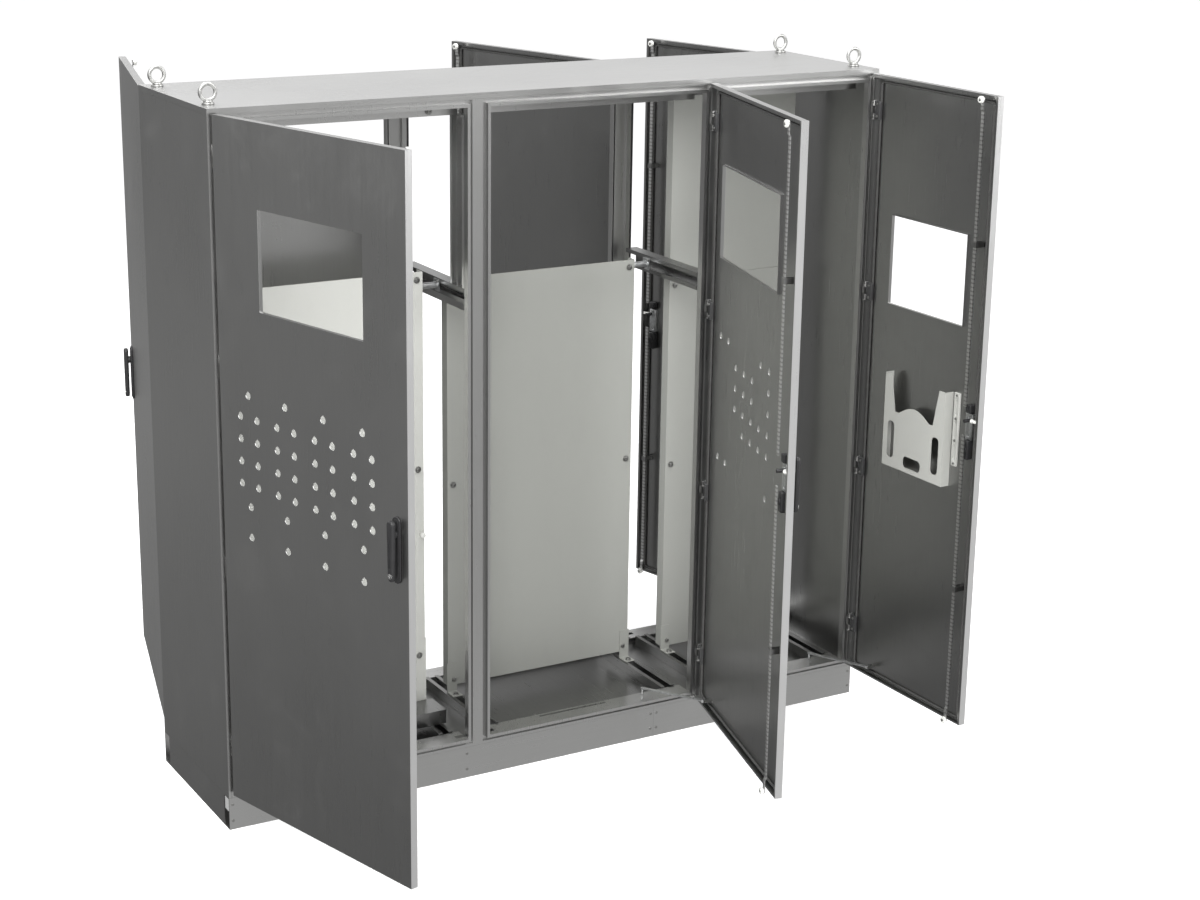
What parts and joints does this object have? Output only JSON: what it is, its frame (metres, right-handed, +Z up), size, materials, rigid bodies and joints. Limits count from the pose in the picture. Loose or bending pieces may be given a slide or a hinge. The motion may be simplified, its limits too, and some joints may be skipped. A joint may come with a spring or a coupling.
{
  "type": "industrial switchboard cabinet",
  "caption": "Wide free-standing steel enclosure on a plinth, with hinged doors at front and rear, windows and button holes in the front doors, and mounting plates inside.",
  "frame": {"origin": "on the floor, at the middle of the width and of the front plinth's bottom flange", "axes": "+X to the right seen from the front, +Y to the rear, +Z up"},
  "size_m": [2.2452, 2.1119, 2.1603],
  "materials": {
    "satin_stainless": "satin brushed stainless sheet",
    "plate_paint": "light grey powder coat, half matt",
    "zinc": "zinc-plated steel, satin",
    "black_plastic": "matt black moulding",
    "forged_steel": "zinc-plated forging"
  },
  "bodies": {
    "cabinet": {"roof": "satin_stainless", "left_wall": "satin_stainless", "right_wall": "satin_stainless", "floor_plate": "satin_stainless", "front_frame": "satin_stainless", "rear_frame": "satin_stainless", "plinth_front_left": "satin_stainless", "plinth_front_right": "satin_stainless", "plinth_rear": "satin_stainless", "plinth_left": "satin_stainless", "plinth_right": "satin_stainless", "floor_rail_1_left": "satin_stainless", "floor_rail_1_right": "satin_stainless", "floor_rail_2_left": "satin_stainless", "floor_rail_2_right": "satin_stainless", "floor_rail_3_left": "satin_stainless", "floor_rail_3_right": "satin_stainless", "depth_rail_1": "satin_stainless", "depth_rail_2": "satin_stainless", "depth_band": "satin_stainless", "upright_channel": "satin_stainless", "floor_box": "satin_stainless", "mounting_plate_1": "plate_paint", "mounting_plate_2": "plate_paint", "mounting_plate_3": "plate_paint", "upper_panel_1": "satin_stainless", "upper_panel_3": "plate_paint", "plate_spacer_1": "zinc", "plate_spacer_2": "zinc", "lifting_eye_front_left": "forged_steel", "lifting_eye_front_right": "forged_steel", "lifting_eye_rear_left": "forged_steel", "lifting_eye_rear_right": "forged_steel"},
    "front_door_1": {"front_door_1": "satin_stainless"},
    "front_handle_1": {"front_handle_1": "black_plastic"},
    "front_upper_rod_1": {"front_upper_rod_1": "zinc"},
    "front_lower_rod_1": {"front_lower_rod_1": "zinc"},
    "front_door_2": {"front_door_2": "satin_stainless"},
    "front_handle_2": {"front_handle_2": "black_plastic"},
    "front_upper_rod_2": {"front_upper_rod_2": "zinc"},
    "front_lower_rod_2": {"front_lower_rod_2": "zinc"},
    "door_stay_2": {"door_stay_2": "zinc"},
    "front_door_3": {"front_door_3": "satin_stainless", "document_holder": "plate_paint"},
    "front_handle_3": {"front_handle_3": "black_plastic"},
    "front_upper_rod_3": {"front_upper_rod_3": "zinc"},
    "front_lower_rod_3": {"front_lower_rod_3": "zinc"},
    "door_stay_3": {"door_stay_3": "zinc"},
    "rear_door_1": {"rear_door_1": "satin_stainless"},
    "rear_handle_1": {"rear_handle_1": "black_plastic"},
    "rear_upper_rod_1": {"rear_upper_rod_1": "zinc"},
    "rear_lower_rod_1": {"rear_lower_rod_1": "zinc"},
    "rear_door_2": {"rear_door_2": "satin_stainless"},
    "rear_handle_2": {"rear_handle_2": "black_plastic"},
    "rear_upper_rod_2": {"rear_upper_rod_2": "zinc"},
    "rear_lower_rod_2": {"rear_lower_rod_2": "zinc"},
    "rear_door_3": {"rear_door_3": "satin_stainless"},
    "rear_handle_3": {"rear_handle_3": "black_plastic"},
    "rear_upper_rod_3": {"rear_upper_rod_3": "zinc"},
    "rear_lower_rod_3": {"rear_lower_rod_3": "zinc"}
  },
  "joints": [
    {"name": "front_door_1_hinge", "type": "hinge", "parent": "cabinet", "child": "front_door_1", "pos_m": [-1.0905, -0.037, 1.1], "axis": [0, 0, -1], "range_deg": [-75, 55]},
    {"name": "front_handle_1_turn", "type": "hinge", "parent": "front_door_1", "child": "front_handle_1", "pos_m": [-0.90567, -0.75772, 1.09991], "axis": [0.9659, 0.2588, 0], "range_deg": [0, 90]},
    {"name": "front_upper_rod_1_slide", "type": "slide", "parent": "front_door_1", "child": "front_upper_rod_1", "axis": [0, 0, -1], "range_m": [0, 0.0322]},
    {"name": "front_lower_rod_1_slide", "type": "slide", "parent": "front_door_1", "child": "front_lower_rod_1", "axis": [0, 0, 1], "range_m": [0, 0.0322]},
    {"name": "front_door_2_hinge", "type": "hinge", "parent": "cabinet", "child": "front_door_2", "pos_m": [0.4905, -0.037, 1.1], "axis": [0, 0, 1], "range_deg": [-75, 20]},
    {"name": "front_handle_2_turn", "type": "hinge", "parent": "front_door_2", "child": "front_handle_2", "pos_m": [0.30567, -0.75772, 1.09991], "axis": [0.9659, -0.2588, 0], "range_deg": [0, 90]},
    {"name": "front_upper_rod_2_slide", "type": "slide", "parent": "front_door_2", "child": "front_upper_rod_2", "axis": [0, 0, -1], "range_m": [0, 0.0322]},
    {"name": "front_lower_rod_2_slide", "type": "slide", "parent": "front_door_2", "child": "front_lower_rod_2", "axis": [0, 0, 1], "range_m": [0, 0.0322]},
    {"name": "door_stay_2_pivot", "type": "hinge", "parent": "front_door_2", "child": "door_stay_2", "pos_m": [0.43329, -0.15005, 0.152], "axis": [0, 0, 1], "range_deg": [-34, 123]},
    {"name": "front_door_3_hinge", "type": "hinge", "parent": "cabinet", "child": "front_door_3", "pos_m": [1.0905, -0.037, 1.1], "axis": [0, 0, 1], "range_deg": [-91, 14]},
    {"name": "front_handle_3_turn", "type": "hinge", "parent": "front_door_3", "child": "front_handle_3", "pos_m": [1.10799, -0.58078, 1.09991], "axis": [0.9998, 0.0175, 0], "range_deg": [0, 90]},
    {"name": "front_upper_rod_3_slide", "type": "slide", "parent": "front_door_3", "child": "front_upper_rod_3", "axis": [0, 0, -1], "range_m": [0, 0.0322]},
    {"name": "front_lower_rod_3_slide", "type": "slide", "parent": "front_door_3", "child": "front_lower_rod_3", "axis": [0, 0, 1], "range_m": [0, 0.0322]},
    {"name": "door_stay_3_pivot", "type": "hinge", "parent": "front_door_3", "child": "door_stay_3", "pos_m": [1.06667, -0.16143, 0.152], "axis": [0, 0, 1], "range_deg": [-24, 145]},
    {"name": "rear_door_1_hinge", "type": "hinge", "parent": "cabinet", "child": "rear_door_1", "pos_m": [-1.0905, 0.547, 1.1], "axis": [0, 0, 1], "range_deg": [-76, 54]},
    {"name": "rear_handle_1_turn", "type": "hinge", "parent": "rear_door_1", "child": "rear_handle_1", "pos_m": [-0.91827, 1.27084, 1.09991], "axis": [-0.9703, 0.2419, 0], "range_deg": [0, 90]},
    {"name": "rear_upper_rod_1_slide", "type": "slide", "parent": "rear_door_1", "child": "rear_upper_rod_1", "axis": [0, 0, -1], "range_m": [0, 0.0322]},
    {"name": "rear_lower_rod_1_slide", "type": "slide", "parent": "rear_door_1", "child": "rear_lower_rod_1", "axis": [0, 0, 1], "range_m": [0, 0.0322]},
    {"name": "rear_door_2_hinge", "type": "hinge", "parent": "cabinet", "child": "rear_door_2", "pos_m": [0.4905, 0.547, 1.1], "axis": [0, 0, -1], "range_deg": [-75, 35]},
    {"name": "rear_handle_2_turn", "type": "hinge", "parent": "rear_door_2", "child": "rear_handle_2", "pos_m": [0.30567, 1.26772, 1.09991], "axis": [-0.9659, -0.2588, 0], "range_deg": [0, 90]},
    {"name": "rear_upper_rod_2_slide", "type": "slide", "parent": "rear_door_2", "child": "rear_upper_rod_2", "axis": [0, 0, -1], "range_m": [0, 0.0322]},
    {"name": "rear_lower_rod_2_slide", "type": "slide", "parent": "rear_door_2", "child": "rear_lower_rod_2", "axis": [0, 0, 1], "range_m": [0, 0.0322]},
    {"name": "rear_door_3_hinge", "type": "hinge", "parent": "cabinet", "child": "rear_door_3", "pos_m": [1.0905, 0.547, 1.1], "axis": [0, 0, -1], "range_deg": [-77, 53]},
    {"name": "rear_handle_3_turn", "type": "hinge", "parent": "rear_door_3", "child": "rear_handle_3", "pos_m": [0.97592, 1.07886, 1.09991], "axis": [-0.9744, -0.225, 0], "range_deg": [0, 90]},
    {"name": "rear_upper_rod_3_slide", "type": "slide", "parent": "rear_door_3", "child": "rear_upper_rod_3", "axis": [0, 0, -1], "range_m": [0, 0.0322]},
    {"name": "rear_lower_rod_3_slide", "type": "slide", "parent": "rear_door_3", "child": "rear_lower_rod_3", "axis": [0, 0, 1], "range_m": [0, 0.0322]}
  ],
  "couplings": [
    {"joint": "front_upper_rod_1_slide", "follows": "front_handle_1_turn", "m_per_rad": 0.020372},
    {"joint": "front_lower_rod_1_slide", "follows": "front_handle_1_turn", "m_per_rad": 0.020372},
    {"joint": "front_upper_rod_2_slide", "follows": "front_handle_2_turn", "m_per_rad": 0.020372},
    {"joint": "front_lower_rod_2_slide", "follows": "front_handle_2_turn", "m_per_rad": 0.020372},
    {"joint": "door_stay_2_pivot", "follows": "front_door_2_hinge", "ratio": -1.616},
    {"joint": "front_upper_rod_3_slide", "follows": "front_handle_3_turn", "m_per_rad": 0.020372},
    {"joint": "front_lower_rod_3_slide", "follows": "front_handle_3_turn", "m_per_rad": 0.020372},
    {"joint": "door_stay_3_pivot", "follows": "front_door_3_hinge", "ratio": -1.575},
    {"joint": "rear_upper_rod_1_slide", "follows": "rear_handle_1_turn", "m_per_rad": 0.020372},
    {"joint": "rear_lower_rod_1_slide", "follows": "rear_handle_1_turn", "m_per_rad": 0.020372},
    {"joint": "rear_upper_rod_2_slide", "follows": "rear_handle_2_turn", "m_per_rad": 0.020372},
    {"joint": "rear_lower_rod_2_slide", "follows": "rear_handle_2_turn", "m_per_rad": 0.020372},
    {"joint": "rear_upper_rod_3_slide", "follows": "rear_handle_3_turn", "m_per_rad": 0.020372},
    {"joint": "rear_lower_rod_3_slide", "follows": "rear_handle_3_turn", "m_per_rad": 0.020372}
  ]
}
